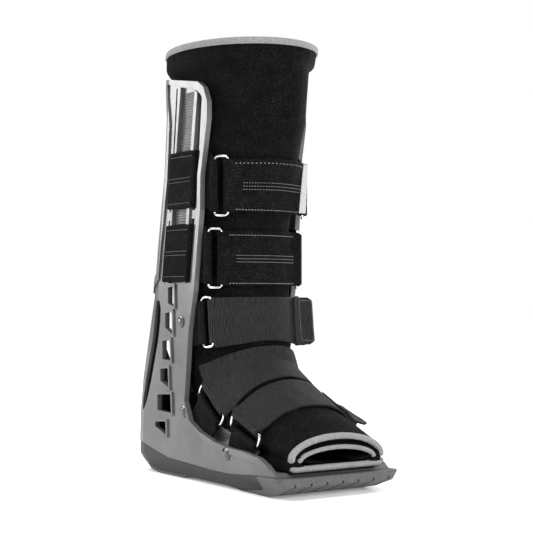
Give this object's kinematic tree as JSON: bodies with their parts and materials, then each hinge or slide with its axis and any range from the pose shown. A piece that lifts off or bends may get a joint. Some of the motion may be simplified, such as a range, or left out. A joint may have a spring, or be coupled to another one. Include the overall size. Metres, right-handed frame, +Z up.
{
  "type": "walking boot brace",
  "caption": "Tall walking boot for an injured foot: moulded shell with side uprights, rocker sole, padded liner and ring-fastened straps.",
  "frame": {"origin": "on the floor under the middle of the boot's outline", "axes": "+Z up, -Y towards the toe, +Y towards the heel, X across the foot"},
  "size_m": [0.1372, 0.276, 0.4095],
  "materials": {
    "shell_grey": "satin moulded nylon",
    "rivet_grey": "smooth moulded",
    "midsole_charcoal": "fine matt grain",
    "outsole_grey": "matt rubber",
    "liner_black": "brushed loop cloth over foam",
    "binding_grey": "woven edge tape",
    "plush_black": "brushed loop cloth",
    "webbing_charcoal": "ribbed webbing",
    "ring_steel": "bright plated wire"
  },
  "bodies": {
    "root": {"shell": "shell_grey", "rivet_upper_far": "rivet_grey", "rivet_upper_near": "rivet_grey", "rivet_middle_far": "rivet_grey", "rivet_middle_near": "rivet_grey", "rivet_front_far": "rivet_grey", "rivet_front_near": "rivet_grey", "midsole": "midsole_charcoal", "outsole_heel": "outsole_grey", "outsole_toe": "outsole_grey", "liner": "liner_black", "liner_top_binding": "binding_grey", "toe_upper_binding": "binding_grey", "toe_lower_binding": "binding_grey", "toe_inner_flap": "liner_black", "ring_calf_upper_far": "ring_steel", "ring_calf_upper_near": "ring_steel", "ring_calf_lower_far": "ring_steel", "ring_calf_lower_near": "ring_steel", "ring_ankle_far": "ring_steel", "ring_ankle_near": "ring_steel", "ring_instep_far": "ring_steel", "ring_instep_near": "ring_steel", "ring_forefoot_far": "ring_steel", "ring_forefoot_near": "ring_steel", "strap_calf_upper": "plush_black", "strap_calf_lower": "plush_black", "strap_ankle": "webbing_charcoal", "strap_instep": "webbing_charcoal", "strap_forefoot": "webbing_charcoal", "keeper_calf_upper_far": "plush_black", "keeper_calf_upper_near": "plush_black", "keeper_calf_lower_far": "plush_black", "keeper_calf_lower_near": "plush_black", "keeper_ankle_far": "webbing_charcoal", "keeper_ankle_near": "webbing_charcoal", "keeper_instep_far": "webbing_charcoal", "keeper_instep_near": "webbing_charcoal", "keeper_forefoot_far": "webbing_charcoal", "keeper_forefoot_near": "webbing_charcoal"}
  },
  "joints": []
}
